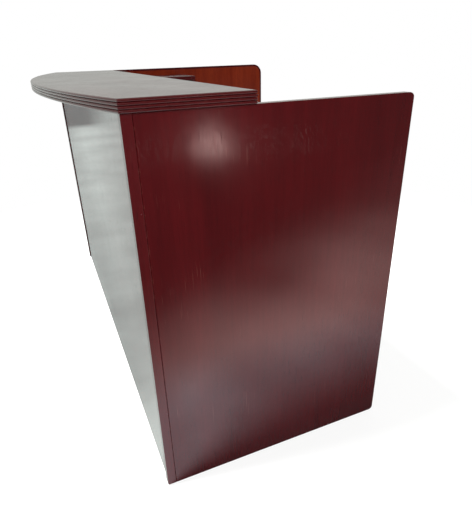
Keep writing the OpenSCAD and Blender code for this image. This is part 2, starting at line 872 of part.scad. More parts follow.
// A bowed pull on two legs with round feet, centred on a drawer front
module drawer_pull(d) {
    z = drawer_z(d);
    half = pull_pitch / 2;
    bow_angle = asin(half / pull_bow_r);
    color(brass)
        at_pedestal(is_near(d))
            translate([ped_w(is_near(d)) / 2, -bumper_gap - drawer_front_t, z[0] + z[1] / 2]) {
                for (side = [-1, 1]) translate([side * half, 0, 0]) {
                    rotate([90, 0, 0]) cylinder(r = pull_foot_r, h = pull_foot_t, $fn = round_fn);
                    rotate([90, 0, 0]) cylinder(r = pull_r, h = pull_leg, $fn = round_fn);
                    translate([0, -pull_leg, 0]) sphere(r = pull_knuckle_r, $fn = round_fn);
                }
                translate([0, pull_bow_r * cos(bow_angle) - pull_leg, 0])
                    rotate([0, 0, -90 - bow_angle])
                        rotate_extrude(angle = 2 * bow_angle, $fn = large_fn)
                            translate([pull_bow_r, 0]) circle(r = pull_r, $fn = hole_fn);
            }
}

// Cam lock in an upper drawer front, unlocked, with its cam towards the middle
module lock(near) {
    face_y = -bumper_gap - drawer_front_t;
    cam_y = rail_t + cam_gap;
    color(zinc)
        at_pedestal(near)
            translate([ped_w(near) - lock_edge, 0, lock_z]) {
                difference() {
                    union() {
                        translate([0, cam_y, 0]) rotate([90, 0, 0])
                            cylinder(r = lock_r, h = cam_y - face_y, $fn = round_fn);
                        translate([0, face_y, 0]) rotate([90, 0, 0])
                            cylinder(r = lock_face_r, h = lock_face_t, $fn = round_fn);
                    }
                    translate([-key_slot_w / 2, face_y - lock_face_t - poke, -lock_r / 2])
                        cube([key_slot_w, key_slot_depth + poke, lock_r]);
                }
                between([-cam_l, cam_y, -cam_w / 2], [lock_r / 2, cam_y + cam_t, cam_w / 2]);
            }
}

// One piece of a drawer, named by its kind
module drawer_piece(d, piece) {
    if (piece == "front") drawer_front(d);
    if (piece == "box") drawer_box(d);
    if (piece == "pull") drawer_pull(d);
    if (piece == "slides") drawer_slides(d);
    if (piece == "mid_slides") drawer_mid_slides(d);
}

corner_posts();
front_panel();
near_end_panel();
far_side_wall();
far_wall_lipping();
counter_core();
counter_bow_edge();
counter_end_edges();
counter_rear_edge();
counter_brackets();
bracket_screws();
corner_angles();
support_cleats();
work_surface();
work_surface_edge();
return_surface();
return_surface_edge();
return_end_panel();
surface_joint_plates();
organizer_case();
organizer_back();
organizer_shelf();
organizer_dividers();
grommet_sleeves();
near_grommet_cap();
far_grommet_cap();
floor_glides();
at_near() pedestal_case(near_ped_w, near_ped_d);  // near_pedestal_case
at_near() pedestal_back(near_ped_w, near_ped_d);  // near_pedestal_back
case_slides(true);  // near_case_slides
lock(true);  // near_lock
at_return() pedestal_case(return_ped_w, return_ped_d);  // return_pedestal_case
at_return() pedestal_back(return_ped_w, return_ped_d);  // return_pedestal_back
case_slides(false);  // return_case_slides
lock(false);  // return_lock
for (d = drawers, piece = drawer_pieces)
    drawer_piece(d, piece);
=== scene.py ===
import json
import math

import bmesh
import bpy
from mathutils import Matrix, Vector
from mathutils.bvhtree import BVHTree


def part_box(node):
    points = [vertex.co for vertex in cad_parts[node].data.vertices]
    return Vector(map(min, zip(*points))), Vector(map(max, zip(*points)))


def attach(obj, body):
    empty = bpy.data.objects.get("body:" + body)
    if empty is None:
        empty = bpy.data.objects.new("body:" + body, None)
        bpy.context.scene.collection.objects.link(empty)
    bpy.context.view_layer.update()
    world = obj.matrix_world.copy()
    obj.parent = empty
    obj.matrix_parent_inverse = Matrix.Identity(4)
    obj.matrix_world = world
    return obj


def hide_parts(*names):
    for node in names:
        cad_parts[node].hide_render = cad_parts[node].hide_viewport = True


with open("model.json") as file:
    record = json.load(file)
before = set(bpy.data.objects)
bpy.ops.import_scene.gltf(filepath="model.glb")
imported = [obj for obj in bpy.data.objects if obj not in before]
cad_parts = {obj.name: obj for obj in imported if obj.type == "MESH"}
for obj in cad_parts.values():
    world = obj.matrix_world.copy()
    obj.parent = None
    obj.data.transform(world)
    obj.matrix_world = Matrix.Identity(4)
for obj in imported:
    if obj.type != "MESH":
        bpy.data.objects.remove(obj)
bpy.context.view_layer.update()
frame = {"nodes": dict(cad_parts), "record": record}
scene = bpy.context.scene
bodies = frame["record"]["behaviour"]["bodies"]
body_of = {node: body for body, nodes in bodies.items() for node in nodes}
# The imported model's materials have the record's slot names
slot_of = {name: node.material_slots[0].material.name for name, node in frame["nodes"].items()}

# Letters and numbers of the three axes
AXES = "xyz"
X, Y, Z = range(3)

# Camera: the photograph's place and direction, in metres and degrees
CAMERA_PLACE = (1.8269, -0.6795, 1.1410)
CAMERA_HEADING = 157.20
CAMERA_PITCH = -25.53
CAMERA_ROLL = -1.68
# Focal length in pixels of the photograph, whose long side is 529 pixels
FOCAL_PIXELS = 445.4
PHOTO_LONG_SIDE = 529
# Width of the sensor in millimetres, and the nearest and furthest that the camera sees in metres
SENSOR = 36
CLIP_NEAR = 0.01
CLIP_FAR = 100

# Wood colours, linear: the darker and lighter figure, and the pores
MAHOGANY = ((0.055, 0.0015, 0.0028), (0.085, 0.0029, 0.0046), (0.024, 0.0011, 0.0018))
# Painted shade: a darker copy of the same mahogany stain for the tops
SHADED_MAHOGANY_TOP = ((0.044, 0.0014, 0.0024), (0.066, 0.0026, 0.0038), (0.020, 0.0010, 0.0016))
# Painted light: a lighter, more orange copy of the mahogany, standing in for warm light on it
LIT_MAHOGANY = ((0.168, 0.0144, 0.0036), (0.247, 0.0276, 0.0072), (0.079, 0.0084, 0.0030))
DRAWER_WOOD = ((0.480, 0.3000, 0.1500), (0.640, 0.4400, 0.2500), (0.300, 0.1800, 0.0900))
# Lighter lacquer: real wear in the scratches, and painted highlight in the chips on the arrises
WORN_LACQUER_AND_HIGHLIGHT = (0.30, 0.12, 0.09)
# Metal colours, linear: clean and tarnished
ZINC = ((0.62, 0.63, 0.64), (0.42, 0.43, 0.44))
AGED_BRASS = ((0.46, 0.33, 0.14), (0.16, 0.10, 0.04))
FILE_RAIL = ((0.74, 0.74, 0.73), (0.58, 0.58, 0.58))
# Plastic and rubber colours, linear
BLACK_TONE = (0.018, 0.018, 0.019)
BUMPER_TONE = (0.30, 0.30, 0.29)

# Parts of a texture's range from 0 to 1 that are spread over its whole effect
WIDE_SPAN = (0.30, 0.70)
NARROW_SPAN = (0.35, 0.65)

# Grain, in features per metre across it, and that count along it as a share of the one across
FIGURE_SCALE = 9
STREAK_SCALE = 120
GRAIN_STRETCH = 0.045
PORE_SCALE = 900
PORE_STRETCH = 0.03
PORE_SPAN = (0.60, 0.68)
PORE_SHARE = 0.55
PORE_DEPTH = 0.00003
MOTTLE_SCALE = 3.2
# Darker and lighter tints of the streaks and of the mottle, and how much of each counts
STREAK_TINTS = ((0.90, 0.88, 0.88), (1.07, 1.08, 1.08))
STREAK_SHARE = 0.7
MOTTLE_TINTS = ((0.86, 0.82, 0.84), (1.14, 1.18, 1.12))
MOTTLE_SHARE = 0.8

# Lacquer: chips on the arrises, which are worn lacquer and painted highlight, smears and smudges
# that dull it, and slow waves, per metre
LACQUER_IOR = 1.5
CHIP_SCALE = 60
CHIP_SPAN = (0.50, 0.62)
SMEAR_SCALE = 7
SMUDGE_SCALE = 38
SMUDGE_SPAN = (0.58, 0.76)
SMUDGE_ROUGHNESS = 0.06
WAVE_SCALE = 5
# Hairline scratches: their count per metre, its shares along X, Y and Z, their two directions in
# radians about X, and the patches that they lie in
SCRATCH_SCALE = 420
SCRATCH_STRETCH = (0.05, 1, 0.025)
SCRATCH_TURNS = (0.35, -1.1)
SCRATCH_SPAN = (0.70, 0.74)
SCRATCH_SHARE = 0.34
PATCH_SCALE = 7
PATCH_SPAN = (0.60, 0.70)
# Cosine between the flat and the rounded normal where an arris starts and where it counts fully
ARRIS_SPAN = (0.995, 0.88)
BEVEL_SAMPLES = 4

# Metal: brushed lines and patches of tarnish, per metre, and the plated edges in metres
BRUSH_SCALE = 2500
BRUSH_STRETCH = 0.02
BRUSH_ROUGHNESS = 0.06
BRUSH_DEPTH = 0.00001
TARNISH_SCALE = 45
TARNISH_SPAN = (0.35, 0.70)
TARNISH_ROUGHNESS = 0.14
METAL_EDGE = 0.0004

# Plastic: its grit and the dust on it, per metre, and the moulded edges in metres
GRIT_SCALE = 1400
GRIT_DEPTH = 0.00003
DUST_SCALE = 25
DUST_SPAN = (0.45, 0.80)
DUST_SHARE = 0.35
DUST_TONE = (0.09, 0.085, 0.08)
DUST_ROUGHNESS = 0.15
PLASTIC_EDGE = 0.0006

# Eased edges of the panels and of the thinner boards, in metres
ARRIS = 0.0010
CASE_ARRIS = 0.0006
ARRIS_STEPS = 2
ROUND_PROFILE = 0.5
# Edges flatter than this are curves and stay as they are, and faces flatter than the second
# angle to each other are one face, in degrees
SHARP_ANGLE = 30
FLAT_ANGLE = 0.5
# Corners this near to each other are one, and edges this near to a flush neighbour stay sharp
MERGE = 1e-6
JOINT_NEAR = 0.0025
# A face looks towards the staff where its normal's part along X is over this
STAFF_FACING = 0.5

# Fittings that the drawers carry, in metres
BUMPER_RADIUS = 0.004
BUMPER_HEIGHT = 0.0014
BUMPER_SIDE_INSET = 0.010
BUMPER_END_INSET = 0.020
PULL_PITCH = 0.096
SCREW_RADIUS = 0.0042
SCREW_HEIGHT = 0.0026
RECESS_DEPTH = 0.0015
BOX_BOARD = 0.012
RAIL_THICKNESS = 0.0012
RAIL_HEIGHT = 0.014
RAIL_HOOK = 0.004
# Places of the screws in the corner angles and in the joint plates, in metres
ANGLE_THICKNESS = 0.004
ANGLE_SCREW = 0.026
ANGLE_INSET = 0.013
PLATE_INSET = 0.010
# Turned fittings: their number of sides, and their profiles as radius, height and the depth of the
# cross cut there
LATHE_STEPS = 32
BUMPER = [
    (0, 0, 0),
    (BUMPER_RADIUS, 0, 0),
    (BUMPER_RADIUS, BUMPER_HEIGHT * 0.35, 0),
    (BUMPER_RADIUS * 0.86, BUMPER_HEIGHT * 0.72, 0),
    (BUMPER_RADIUS * 0.5, BUMPER_HEIGHT * 0.95, 0),
    (0, BUMPER_HEIGHT, 0),
]
SCREW = [
    (0, 0, 0),
    (SCREW_RADIUS, 0, 0),
    (SCREW_RADIUS * 0.98, SCREW_HEIGHT * 0.35, 0),
    (SCREW_RADIUS * 0.80, SCREW_HEIGHT * 0.80, 0),
    (SCREW_RADIUS * 0.60, SCREW_HEIGHT, 0),
    (SCREW_RADIUS * 0.52, SCREW_HEIGHT, 0.62),
    (SCREW_RADIUS * 0.44, SCREW_HEIGHT - RECESS_DEPTH * 0.8, 0.66),
    (0, SCREW_HEIGHT - RECESS_DEPTH, 0),
]


def place_camera():
    """Puts the camera where the photograph was taken from."""
    data = bpy.data.cameras.new("photo_camera")
    data.sensor_width = SENSOR
    data.lens = SENSOR * FOCAL_PIXELS / PHOTO_LONG_SIDE
    data.clip_start = CLIP_NEAR
    data.clip_end = CLIP_FAR
    camera = bpy.data.objects.new("photo_camera", data)
    scene.collection.objects.link(camera)
    heading, pitch = math.radians(CAMERA_HEADING), math.radians(CAMERA_PITCH)
    forward = Vector((math.cos(heading) * math.cos(pitch),
                      math.sin(heading) * math.cos(pitch), math.sin(pitch)))
    turn = forward.to_track_quat("-Z", "Y").to_matrix()
    roll = Matrix.Rotation(math.radians(CAMERA_ROLL), 3, "Z")
    camera.matrix_world = (turn @ roll).to_4x4()
    camera.location = CAMERA_PLACE
    scene.camera = camera


def add_node(tree, kind, values=(), **settings):
    """A new node with its settings, and with sockets linked or set by name or number."""
    made = tree.nodes.new(kind)
    for key, value in settings.items():
        setattr(made, key, value)
    for key, value in dict(values).items():
        feed(tree, made.inputs[key], value)
    return made


def feed(tree, socket, value):
    """Links a socket to another one, or sets it."""
    if isinstance(value, bpy.types.NodeSocket):
        tree.links.new(value, socket)
    else:
        socket.default_value = value


class Shading:
    """A material's node tree, with short calls for the nodes that the finishes use."""

    def __init__(self, name):
        self.material = bpy.data.materials.new(name)
        self.material.use_nodes = True
        self.tree = self.material.node_tree
        self.shader = self.tree.nodes["Principled BSDF"]
        self.coords = self.node("ShaderNodeTexCoord").outputs["Object"]

    def node(self, kind, values=(), **settings):
        return add_node(self.tree, kind, values, **settings)

    def shade(self, **values):
        """Links or sets the shader's own sockets. Underscores in a name stand for spaces."""
        for key, value in values.items():
            feed(self.tree, self.shader.inputs[key.replace("_", " ")], value)
        return self.material

    def stretched(self, axis, factor):
        """Coordinates drawn out along one axis."""
        scale = [1, 1, 1]
        scale[AXES.index(axis)] = factor
        return self.node("ShaderNodeMapping", {"Vector": self.coords, "Scale": scale}).outputs[0]

    def noise(self, vector, scale, detail=2, roughness=0.5, distortion=0):
        """Soft random values around 0.5, with so many features per metre."""
        return self.node("ShaderNodeTexNoise", {
            "Vector": vector, "Scale": scale, "Detail": detail,
            "Roughness": roughness, "Distortion": distortion}).outputs[0]

    def remap(self, value, low, high, to_low=0, to_high=1):
        """Takes low to high over to to_low to to_high, and stops there."""
        return self.node("ShaderNodeMapRange", {
            0: value, 1: low, 2: high, 3: to_low, 4: to_high}).outputs[0]

    def math(self, operation, *values):
        return self.node("ShaderNodeMath", enumerate(values), operation=operation).outputs[0]

    def times(self, first, second):
        return self.math("MULTIPLY", first, second)

    def vector_math(self, operation, first, *second):
        """A number worked out from one or two vectors."""
        made = self.node("ShaderNodeVectorMath", enumerate((first, *second)), operation=operation)
        return made.outputs["Value"]

    def mix(self, factor, first, second, blend="MIX"):
        """Mixes two colours. A colour is a socket or three linear numbers."""
        made = self.node("ShaderNodeMix", {0: factor}, data_type="RGBA", blend_type=blend)
        for key, value in ((6, first), (7, second)):
            colour = value if isinstance(value, bpy.types.NodeSocket) else (*value, 1)
            feed(self.tree, made.inputs[key], colour)
        return made.outputs[2]

    def bevel(self, radius):
        """The normal with rounded edges."""
        return self.node("ShaderNodeBevel", {"Radius": radius}, samples=BEVEL_SAMPLES).outputs[0]

    def bump(self, height, distance, normal):
        """The normal with a height's slopes added to it."""
        return self.node("ShaderNodeBump", {
            "Height": height, "Distance": distance, "Strength": 1, "Normal": normal}).outputs[0]

    def edge_mask(self, rounded):
        """1 on the arrises and 0 on flat faces."""
        flat = self.node("ShaderNodeNewGeometry").outputs["True Normal"]
        return self.remap(self.vector_math("DOT_PRODUCT", rounded, flat), *ARRIS_SPAN)

    def scratches(self):
        """1 on sparse hairlines, which lie in patches."""
        lines = []
        for turn in SCRATCH_TURNS:
            along = self.node("ShaderNodeMapping", {
                "Vector": self.coords, "Rotation": (turn, 0, 0),
                "Scale": SCRATCH_STRETCH}).outputs[0]
            lines.append(self.remap(self.noise(along, SCRATCH_SCALE, detail=1), *SCRATCH_SPAN))
        patches = self.remap(self.noise(self.coords, PATCH_SCALE), *PATCH_SPAN)
        return self.times(self.math("MAXIMUM", *lines), patches)


def wood(name, grain, tones, roughness, wear_and_highlight=0.5, haze=0.06, waves=0.00012, figure_share=1.0):
    """Stained and lacquered wood whose grain runs along the given axis. The wear and highlight is a
    share of the chips on the arrises, which are worn lacquer and painted highlight, and of the
    scratches and smudges, the haze is how far smears change the roughness, the waves are a height
    in metres, and the figure's share is how strongly the grain shows."""
    look = Shading(name)
    dark, light, pore_tone = tones
    flow = look.stretched(grain, GRAIN_STRETCH)
    figure = look.noise(flow, FIGURE_SCALE, detail=5, roughness=0.62, distortion=0.5)
    streaks = look.noise(flow, STREAK_SCALE, detail=3)
    pores = look.noise(look.stretched(grain, PORE_STRETCH), PORE_SCALE, detail=1)
    mottle = look.noise(look.coords, MOTTLE_SCALE, detail=3)
    colour = look.mix(look.remap(figure, *WIDE_SPAN, 0, figure_share), dark, light)
    tint = look.mix(look.remap(streaks, *NARROW_SPAN), *STREAK_TINTS)
    colour = look.mix(STREAK_SHARE, colour, tint, "MULTIPLY")
    tint = look.mix(look.remap(mottle, *WIDE_SPAN), *MOTTLE_TINTS)
    colour = look.mix(MOTTLE_SHARE, colour, tint, "MULTIPLY")
    pore_mask = look.remap(pores, *PORE_SPAN)
    colour = look.mix(look.times(pore_mask, PORE_SHARE * figure_share), colour, pore_tone)
    rounded = look.bevel(ARRIS)
    chips = look.remap(look.noise(look.coords, CHIP_SCALE, detail=3), *CHIP_SPAN)
    # Chips on the arrises: worn lacquer and painted highlight
    edge_wear_and_highlight = look.times(look.times(look.edge_mask(rounded), chips), wear_and_highlight)
    scratched = look.times(look.scratches(), SCRATCH_SHARE * wear_and_highlight)
    colour = look.mix(look.math("MAXIMUM", edge_wear_and_highlight, scratched), colour, WORN_LACQUER_AND_HIGHLIGHT)
    smears = look.noise(look.coords, SMEAR_SCALE, detail=4, roughness=0.6, distortion=0.8)
    smears = look.remap(smears, *WIDE_SPAN, roughness - haze / 2, roughness + haze)
    smudges = look.noise(look.coords, SMUDGE_SCALE, detail=3)
    smudges = look.remap(smudges, *SMUDGE_SPAN, 0, SMUDGE_ROUGHNESS * wear_and_highlight)
    wavy = look.bump(look.noise(look.coords, WAVE_SCALE), waves, rounded)
    return look.shade(Base_Color=colour, Roughness=look.math("ADD", smears, smudges),
                      Normal=look.bump(pore_mask, -PORE_DEPTH, wavy), IOR=LACQUER_IOR)


def metal(name, tones, roughness, brushed="y"):
    """Brushed or plated metal with patches of tarnish."""
    look = Shading(name)
    lines = look.noise(look.stretched(brushed, BRUSH_STRETCH), BRUSH_SCALE)
    patches = look.noise(look.coords, TARNISH_SCALE, detail=4, roughness=0.6)
    colour = look.mix(look.remap(patches, *TARNISH_SPAN), *tones)
    brushing = look.remap(lines, *WIDE_SPAN, -BRUSH_ROUGHNESS, BRUSH_ROUGHNESS)
    tarnish = look.remap(patches, *WIDE_SPAN, roughness, roughness + TARNISH_ROUGHNESS)
    return look.shade(Base_Color=colour, Metallic=1.0,
                      Roughness=look.math("ADD", brushing, tarnish),
                      Normal=look.bump(lines, BRUSH_DEPTH, look.bevel(METAL_EDGE)))


def plastic(name, tone, roughness):
    """Moulded plastic with a fine texture."""
    look = Shading(name)
    grit = look.noise(look.coords, GRIT_SCALE)
    dust = look.noise(look.coords, DUST_SCALE, detail=4)
    colour = look.mix(look.remap(dust, *DUST_SPAN, 0, DUST_SHARE), tone, DUST_TONE)
    dulled = look.remap(dust, *WIDE_SPAN, roughness, roughness + DUST_ROUGHNESS)
    return look.shade(Base_Color=colour, Roughness=dulled,
                      Normal=look.bump(grit, GRIT_DEPTH, look.bevel(PLASTIC_EDGE)))


place_camera()

END_PANEL = wood("mahogany_end_panel", "z", MAHOGANY, roughness=0.13, wear_and_highlight=0.8, haze=0.03,
                 figure_share=0.7)
FRONT = wood("mahogany_front_panel", "z", MAHOGANY, roughness=0.07, haze=0.03, waves=0.00005)
# Painted shade: the tops take the darker copy of the mahogany
TOP_X, TOP_Y = (
    wood("shaded_mahogany_top_along_" + axis, axis, SHADED_MAHOGANY_TOP, roughness=0.16, haze=0.025,
         waves=0.00002) for axis in "xy")
BOARD_X, BOARD_Y, BOARD_Z = (
    wood("mahogany_board_along_" + axis, axis, MAHOGANY, roughness=0.22) for axis in AXES)
# Painted lit copies of the mahogany, along Z and Y
LIT_MAHOGANY_Z, LIT_MAHOGANY_Y = (
    wood("lit_mahogany_along_" + axis, axis, LIT_MAHOGANY, roughness=0.20) for axis in "zy")
BOX_X, BOX_Y, BOX_Z = (
    wood("drawer_wood_along_" + axis, axis, DRAWER_WOOD, roughness=0.42, wear_and_highlight=0) for axis in AXES)
STEEL = metal("zinc_steel", ZINC, roughness=0.30)
BRASS = metal("aged_brass", AGED_BRASS, roughness=0.28, brushed="x")
ALUMINIUM = metal("file_rail_aluminium", FILE_RAIL, roughness=0.24, brushed="x")
BLACK = plastic("black_plastic", BLACK_TONE, roughness=0.42)
RUBBER = plastic("clear_grey_bumper", BUMPER_TONE, roughness=0.30)

# Finishes of the CAD nodes by their slots, and of the nodes whose edges match a top or whose grain
# runs along Y
SLOT_FINISH = {
    "mahogany": BOARD_Z, "mahogany_top": TOP_X, "inner_veneer": LIT_MAHOGANY_Z,
    "drawer_wood": BOX_Y, "zinc_steel": STEEL, "aged_brass": BRASS, "black_plastic": BLACK,
}
NODE_FINISH = {
    "counter_bow_edge": TOP_X, "counter_end_edges": TOP_Y, "counter_rear_edge": TOP_X,
    "work_surface_edge": TOP_X, "return_surface": TOP_Y, "return_surface_edge": TOP_Y,
}
# Finishes of boards whose length runs along X, Y and Z. The painted lit mahogany has none along X,
# so its boards along X take the one along Y
BOARDS = (BOARD_X, BOARD_Y, BOARD_Z)
LIT_MAHOGANY_BOARDS = (LIT_MAHOGANY_Y, LIT_MAHOGANY_Y, LIT_MAHOGANY_Z)
BOXES = (BOX_X, BOX_Y, BOX_Z)


def dress_nodes():
    """Gives each CAD node its finish."""
    for name, node in frame["nodes"].items():
        for place in node.material_slots:
            place.material = NODE_FINISH.get(name, SLOT_FINISH[slot_of[name]])


def add_piece(name, form, finishes, like, stands_for=False):
    """Links a mesh as a piece that rides with a CAD node, and may stand for it."""
    mesh = bpy.data.meshes.new(name)
    form.to_mesh(mesh)
    form.free()
    for finish in finishes:
        mesh.materials.append(finish)
    piece = bpy.data.objects.new(name, mesh)
    scene.collection.objects.link(piece)
    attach(piece, body_of[like])
    if stands_for:
        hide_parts(like)


def board_form(name):
    """A CAD node's mesh with one face for each flat side."""
    form = bmesh.new()
    form.from_mesh(frame["nodes"][name].data)
    bmesh.ops.remove_doubles(form, verts=form.verts, dist=MERGE)
    bmesh.ops.dissolve_limit(form, angle_limit=math.radians(FLAT_ANGLE),
                             verts=form.verts, edges=form.edges)
    return form


def solids(form):
    """The faces of each separate solid of a mesh."""
    found = set()
    for first in form.faces:
        if first in found:
            continue
        found.add(first)
        group = [first]
        for face in group:
            for edge in face.edges:
                for other in edge.link_faces:
                    if other not in found:
                        found.add(other)
                        group.append(other)
        yield group


def corners_of(faces):
    """The lowest and the highest corner of a solid."""
    places = [corner.co for face in faces for corner in face.verts]
    return [Vector(choose(place[axis] for place in places) for axis in (X, Y, Z))
            for choose in (min, max)]


def along_length(face, size):
    """Picks the finish whose grain runs along the board."""
    return size.index(max(size))


def wall_side(face, size):
    """Picks the painted lit copy of the mahogany towards the staff and mahogany elsewhere."""
    return 0 if face.normal.x > STAFF_FACING else 1


def ease(name, finishes, pick=None, radius=ARRIS, joined=()):
    """Stands boards with eased arrises in for a CAD node. Edges beside a flush neighbour stay
    sharp."""
    form = board_form(name)
    trees = []
    for other in joined:
        neighbour = board_form(other)
        trees.append(BVHTree.FromBMesh(neighbour))
        neighbour.free()

    def is_arris(edge):
        if not edge.is_convex or edge.calc_face_angle(0) < math.radians(SHARP_ANGLE):
            return False
        middle = (edge.verts[0].co + edge.verts[1].co) / 2
        return not any(tree.find_nearest(middle, JOINT_NEAR)[0] for tree in trees)

    arrises = [edge for edge in form.edges if is_arris(edge)]
    bmesh.ops.bevel(form, geom=arrises, offset=radius, segments=ARRIS_STEPS,
                    profile=ROUND_PROFILE, affect="EDGES", clamp_overlap=True)
    if pick:
        for faces in solids(form):
            low, high = corners_of(faces)
            for face in faces:
                face.material_index = pick(face, list(high - low))
    add_piece(name + "_eased", form, finishes, name, stands_for=True)


def turned(form, profile, place, axis):
    """Adds a body turned about an axis through a place. The profile gives radius, height along the
    axis and the depth of a cross cut there, and starts and ends on the axis."""
    turn = Vector(axis).to_track_quat("Z", "Y").to_matrix()

    def corner(x, y, height):
        return form.verts.new(Vector(place) + turn @ Vector((x, y, height)))

    rings = []
    for radius, height, cross in profile:
        if radius == 0:
            rings.append([corner(0, 0, height)])
            continue
        ring = []
        for step in range(LATHE_STEPS):
            angle = 2 * math.pi * step / LATHE_STEPS
            reach = radius * (1 - cross * abs(math.sin(2 * angle)))
            ring.append(corner(reach * math.cos(angle), reach * math.sin(angle), height))
        rings.append(ring)
    for lower, upper in zip(rings, rings[1:]):
        for step in range(LATHE_STEPS):
            after = (step + 1) % LATHE_STEPS
            corners = [lower[step % len(lower)], lower[after % len(lower)],
                       upper[after % len(upper)], upper[step % len(upper)]]
            face = form.faces.new(list(dict.fromkeys(corners)))
            face.smooth = True
    bmesh.ops.recalc_face_normals(form, faces=form.faces)


class Drawer:
    """A drawer's pieces and directions, for placing the fittings that it carries."""

    def __init__(self, name):
        self.name = name
        self.front = name + "_front"
        self.box = name + "_box"
        self.out, self.side = (Y, X) if name.startswith("near") else (X, Y)

    def point(self, along_out, along_side, height):
        """A place from its distances along the drawer's travel, across it and up."""
        place = [0, 0, height]
        place[self.out], place[self.side] = along_out, along_side
        return place

    def bumpers(self):
        """Rubber bumpers in the corners of the front's inner face."""
        low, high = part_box(self.front)
        form = bmesh.new()
        for across in (low[self.side] + BUMPER_SIDE_INSET, high[self.side] - BUMPER_SIDE_INSET):
            for height in (low[Z] + BUMPER_END_INSET, high[Z] - BUMPER_END_INSET):
                turned(form, BUMPER, self.point(low[self.out], across, height),
                       self.point(-1, 0, 0))
        add_piece(self.name + "_bumpers", form, [RUBBER], self.front)

    def pull_screws(self):
        """Screw heads of the pull, on the inner face of the box's front board."""
        low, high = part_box(self.front)
        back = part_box(self.box)[1][self.out] - BOX_BOARD
        middle = (low[self.side] + high[self.side]) / 2
        height = (low[Z] + high[Z]) / 2
        form = bmesh.new()
        for across in (middle - PULL_PITCH / 2, middle + PULL_PITCH / 2):
            turned(form, SCREW, self.point(back, across, height), self.point(-1, 0, 0))
        add_piece(self.name + "_pull_screws", form, [STEEL], self.front)

    def file_rails(self):
        """Aluminium rails that clip over the box's sides and carry hanging files."""
        low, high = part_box(self.box)
        top, start, end = high[Z], low[self.out] + BOX_BOARD, high[self.out] - BOX_BOARD
        form = bmesh.new()
        for face, way in ((low[self.side], 1), (high[self.side], -1)):
            inner = face + way * (BOX_BOARD + RAIL_THICKNESS)
            outer = face - way * RAIL_THICKNESS
            hook = inner + way * RAIL_HOOK
            outline = [(outer, top - RAIL_HEIGHT), (outer, top + RAIL_THICKNESS),
                       (hook, top + RAIL_THICKNESS), (hook, top - RAIL_HOOK),
                       (hook - way * RAIL_THICKNESS, top - RAIL_HOOK),
                       (hook - way * RAIL_THICKNESS, top), (face, top), (face, top - RAIL_HEIGHT)]
            ends = [[form.verts.new(self.point(place, *corner)) for corner in outline]
                    for place in (start, end)]
            form.faces.new(ends[0])
            form.faces.new(ends[1])
            for step in range(len(outline)):
                form.faces.new([ends[0][step - 1], ends[0][step], ends[1][step], ends[1][step - 1]])
        bmesh.ops.recalc_face_normals(form, faces=form.faces)
        add_piece(self.name + "_file_rails", form, [ALUMINIUM], self.box)


def angle_screws():
    """Screw heads on both legs of each corner angle."""
    angles, form = board_form("corner_angles"), bmesh.new()
    for faces in solids(angles):
        low, high = corners_of(faces)
        inward, wall = (-1, high.x) if low.x > 0 else (1, low.x)
        for height in (low.z + ANGLE_INSET, high.z - ANGLE_INSET):
            turned(form, SCREW, (wall + inward * ANGLE_SCREW, low.y + ANGLE_THICKNESS, height),
                   (0, 1, 0))
            turned(form, SCREW, (wall + inward * ANGLE_THICKNESS, low.y + ANGLE_SCREW, height),
                   (inward, 0, 0))
    angles.free()
    add_piece("corner_angle_screws", form, [STEEL], "corner_angles")


def plate_screws():
    """Screw heads under the plates that join the two work surfaces."""
    plates, form = board_form("surface_joint_plates"), bmesh.new()
    for faces in solids(plates):
        low, high = corners_of(faces)
        for x in (low.x + PLATE_INSET, high.x - PLATE_INSET):
            for y in (low.y + PLATE_INSET, high.y - PLATE_INSET):
                turned(form, SCREW, (x, y, low.z), (0, 0, -1))
    plates.free()
    add_piece("joint_plate_screws", form, [STEEL], "surface_joint_plates")


def ease_carcass():
    """Panels, posts and cases with eased arrises."""
    ease("corner_posts", [BOARD_Z], joined=["near_end_panel", "far_side_wall"])
    ease("front_panel", [FRONT])
    ease("near_end_panel", [END_PANEL], joined=["corner_posts"])
    # The far wall's staff side takes the painted lit mahogany
    ease("far_side_wall", [LIT_MAHOGANY_Z, BOARD_Z], wall_side,
         joined=["far_wall_lipping", "corner_posts"])
    ease("far_wall_lipping", BOARDS, along_length, joined=["far_side_wall"])
    ease("return_end_panel", [BOARD_Z])
    for name, finishes in (("organizer_case", BOARDS), ("organizer_shelf", LIT_MAHOGANY_BOARDS),
                           ("organizer_dividers", LIT_MAHOGANY_BOARDS), ("near_pedestal_case", BOARDS),
                           ("return_pedestal_case", BOARDS), ("support_cleats", BOXES)):
        ease(name, finishes, along_length, CASE_ARRIS)


def fit_drawers():
    """Drawer fronts and boxes with eased arrises, and the fittings that they carry."""
    for front in [name for name in frame["nodes"] if name.endswith("_drawer_front")]:
        name = front.removesuffix("_front")
        drawer = Drawer(name)
        ease(drawer.front, [BOARD_Z])
        ease(drawer.box, BOXES, along_length, CASE_ARRIS)
        drawer.bumpers()
        drawer.pull_screws()
        if name.startswith("return") or "file" in name:
            drawer.file_rails()


dress_nodes()
ease_carcass()
fit_drawers()
angle_screws()
plate_screws()


# Floor: pale, and for the camera white like the backdrop where it is far from the desk
FLOOR_SIDE = 30
FLOOR_CELLS = 8
FLOOR_TONE = (0.86, 0.86, 0.85)
FLOOR_ROUGHNESS = 0.9
# Share of white glow near the desk, painted light that lightens the desk's shadow on the floor,
# and the distances in metres over which it grows to the whole
WHITE_NEAR = 0.80
WHITE_SPAN = (1.2, 2.4)
# Painted uneven light on the mirrored floor, large and small: features per metre, and the light in
# dim parts
CLOUD_SCALE = 1.9
CLOUD_DIM = 0.74
SPECK_SCALE = 11
SPECK_DIM = 0.86
